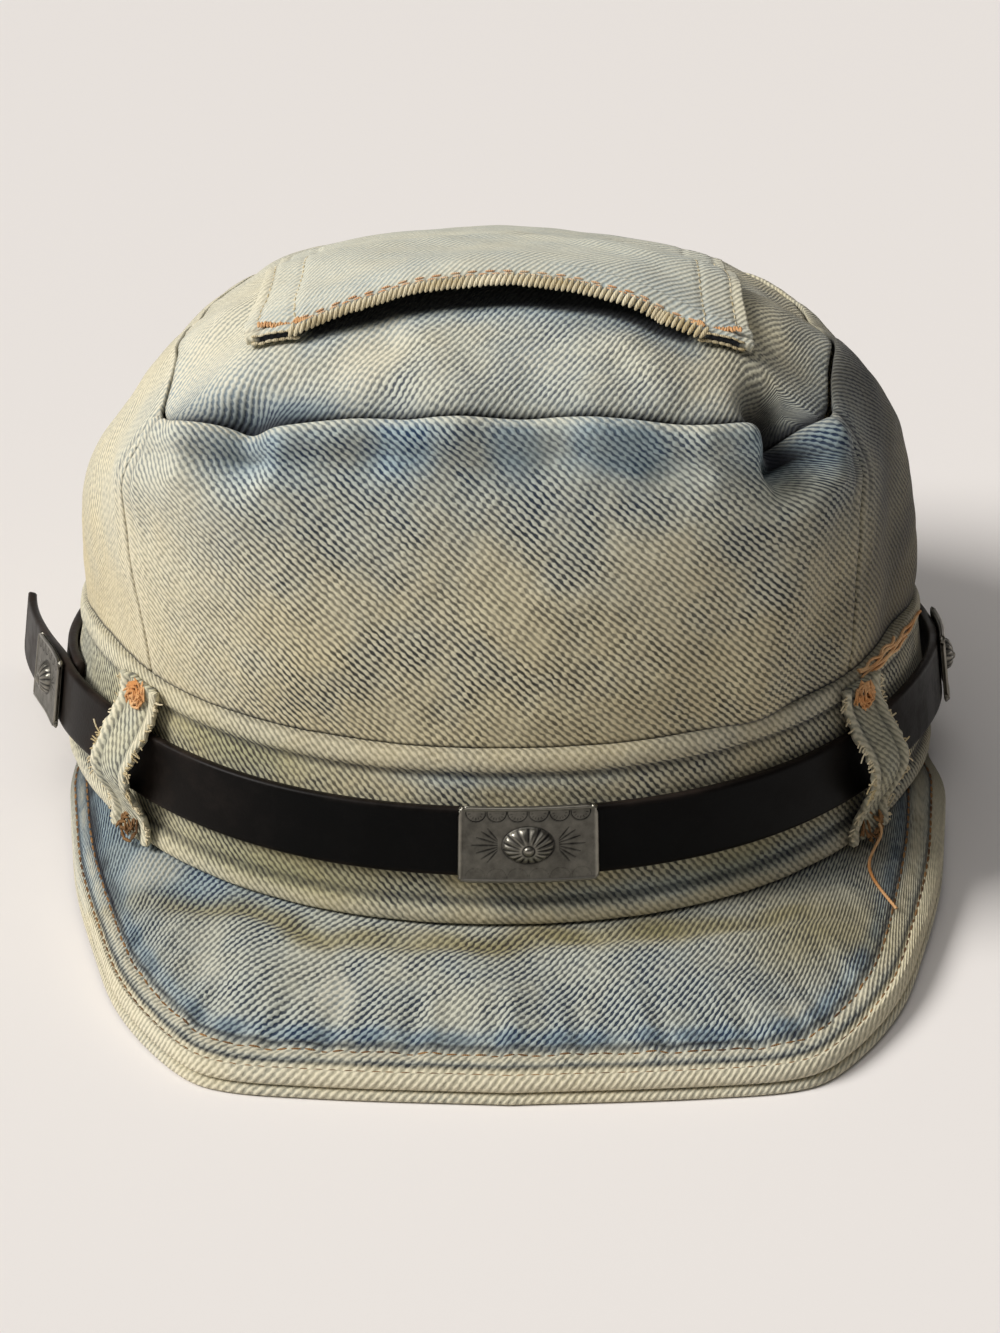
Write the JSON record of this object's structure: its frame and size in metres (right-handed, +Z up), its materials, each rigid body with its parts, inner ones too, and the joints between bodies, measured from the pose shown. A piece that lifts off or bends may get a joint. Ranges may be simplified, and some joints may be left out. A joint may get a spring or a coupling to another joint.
{
  "type": "cadet cap",
  "caption": "Soft washed denim cadet cap with a short stitched peak, a patch pocket on its crown and a leather strap with metal plates.",
  "frame": {"origin": "on the table, under the middle of the cap's box", "axes": "+Z up, -Y towards the peak, +X to the right of someone who faces the front of the cap"},
  "size_m": [0.2002, 0.2408, 0.128],
  "materials": {
    "crown_denim": "washed denim twill, worn matte",
    "band_denim": "washed denim twill, worn matte",
    "peak_denim": "washed denim twill, worn matte",
    "loop_denim": "washed denim twill, worn matte",
    "strap_leather": "smooth, slight sheen",
    "plate_silver": "stamped and antiqued"
  },
  "bodies": {
    "root": {"crown_top": "crown_denim", "crown_front": "crown_denim", "crown_side_left": "crown_denim", "crown_side_right": "crown_denim", "pocket": "crown_denim", "waistband": "band_denim", "belt_loop_left": "loop_denim", "belt_loop_right": "loop_denim", "belt_loop_back": "loop_denim", "peak_top": "peak_denim", "peak_under": "peak_denim", "strap": "strap_leather", "concho_front": "plate_silver", "concho_left": "plate_silver", "concho_right": "plate_silver"}
  },
  "joints": []
}
